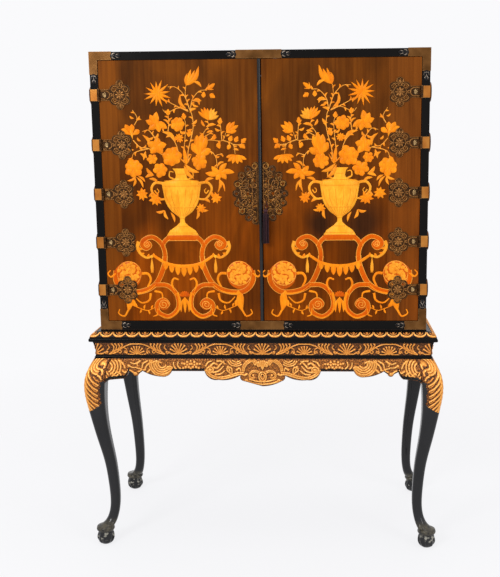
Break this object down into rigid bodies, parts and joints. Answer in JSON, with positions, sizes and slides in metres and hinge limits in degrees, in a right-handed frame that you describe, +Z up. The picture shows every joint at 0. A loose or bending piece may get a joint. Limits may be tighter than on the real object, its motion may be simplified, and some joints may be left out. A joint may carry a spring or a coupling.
{
  "type": "cocktail cabinet on stand",
  "caption": "Two-door marquetry cabinet with pierced strap hinges and a lock roundel, on a carved stand with cabriole legs.",
  "frame": {"origin": "on the floor under the middle of the cabinet", "axes": "+X to the viewer's right, +Y from the doors to the back, +Z up"},
  "size_m": [1.187, 0.552, 1.6512],
  "materials": {
    "ebonised_wood": "polished black lacquer",
    "gilt_carving": "carved and gilded, dark recesses",
    "marquetry_veneer": "polished veneer with inlay",
    "interior_wood": "satin",
    "silvered_mirror": "polished",
    "shelf_glass": "clear",
    "polished_brass": "polished, coppery",
    "dark_bronze": "patinated, pierced",
    "lock_steel": "filed",
    "tassel_silk": "silk"
  },
  "bodies": {
    "carcase": {"case_top": "ebonised_wood", "case_bottom": "ebonised_wood", "case_side_left": "ebonised_wood", "case_side_right": "ebonised_wood", "seat_board": "ebonised_wood", "lip_board": "ebonised_wood", "frieze_back": "ebonised_wood", "frieze_astragal": "ebonised_wood", "leg_front_left": "ebonised_wood", "leg_front_right": "ebonised_wood", "leg_back_left": "ebonised_wood", "leg_back_right": "ebonised_wood", "gadroon_moulding": "gilt_carving", "frieze_front": "gilt_carving", "frieze_left": "gilt_carving", "frieze_right": "gilt_carving", "apron_front": "gilt_carving", "apron_left": "gilt_carving", "apron_right": "gilt_carving", "case_back": "interior_wood", "fixed_shelf": "interior_wood", "mirror_panel": "silvered_mirror", "glass_shelf": "shelf_glass", "corner_mounts": "polished_brass", "rail_mounts": "polished_brass", "shelf_pegs": "polished_brass", "hinge_pins": "dark_bronze", "case_leaf_left_1": "polished_brass", "case_leaf_left_2": "polished_brass", "case_leaf_left_3": "polished_brass", "case_leaf_left_4": "polished_brass", "case_leaf_left_5": "polished_brass", "case_leaf_right_1": "polished_brass", "case_leaf_right_2": "polished_brass", "case_leaf_right_3": "polished_brass", "case_leaf_right_4": "polished_brass", "case_leaf_right_5": "polished_brass"},
    "left_door": {"door_left": "marquetry_veneer", "meeting_bead": "ebonised_wood", "lock_plate_left": "dark_bronze", "lock_keep": "lock_steel", "bolt_guides": "polished_brass", "door_leaf_left_1": "dark_bronze", "door_leaf_left_2": "dark_bronze", "door_leaf_left_3": "dark_bronze", "door_leaf_left_4": "dark_bronze", "door_leaf_left_5": "dark_bronze"},
    "right_door": {"door_right": "marquetry_veneer", "lock_plate_right": "dark_bronze", "lock_case": "lock_steel", "door_leaf_right_1": "dark_bronze", "door_leaf_right_2": "dark_bronze", "door_leaf_right_3": "dark_bronze", "door_leaf_right_4": "dark_bronze", "door_leaf_right_5": "dark_bronze"},
    "key": {"key": "polished_brass"},
    "lock_bolt": {"lock_bolt": "lock_steel"},
    "tassel": {"tassel": "tassel_silk"},
    "upper_bolt": {"upper_bolt": "polished_brass"},
    "lower_bolt": {"lower_bolt": "polished_brass"}
  },
  "joints": [
    {"name": "left_door_swing", "type": "hinge", "parent": "carcase", "child": "left_door", "pos_m": [-0.5115, -0.2248, 1.2015], "axis": [0, 0, -1], "range_deg": [0, 165]},
    {"name": "right_door_swing", "type": "hinge", "parent": "carcase", "child": "right_door", "pos_m": [0.5115, -0.2248, 1.2015], "axis": [0, 0, 1], "range_deg": [0, 165]},
    {"name": "key_turn", "type": "hinge", "parent": "right_door", "child": "key", "pos_m": [0.0175, -0.2, 1.1745], "axis": [0, -1, 0], "range_deg": [0, 90]},
    {"name": "lock_bolt_slide", "type": "slide", "parent": "right_door", "child": "lock_bolt", "axis": [-1, 0, 0], "range_m": [0, 0.00832]},
    {"name": "tassel_swing", "type": "hinge", "parent": "right_door", "child": "tassel", "pos_m": [0.0175, -0.238, 1.1745], "axis": [0, 1, 0], "range_deg": [-35, 35]},
    {"name": "upper_bolt_slide", "type": "slide", "parent": "left_door", "child": "upper_bolt", "axis": [0, 0, 1], "range_m": [0, 0.012]},
    {"name": "lower_bolt_slide", "type": "slide", "parent": "left_door", "child": "lower_bolt", "axis": [0, 0, -1], "range_m": [0, 0.012]}
  ],
  "couplings": [
    {"joint": "key_turn", "follows": "lock_bolt_slide", "rad_per_m": 188.6}
  ]
}
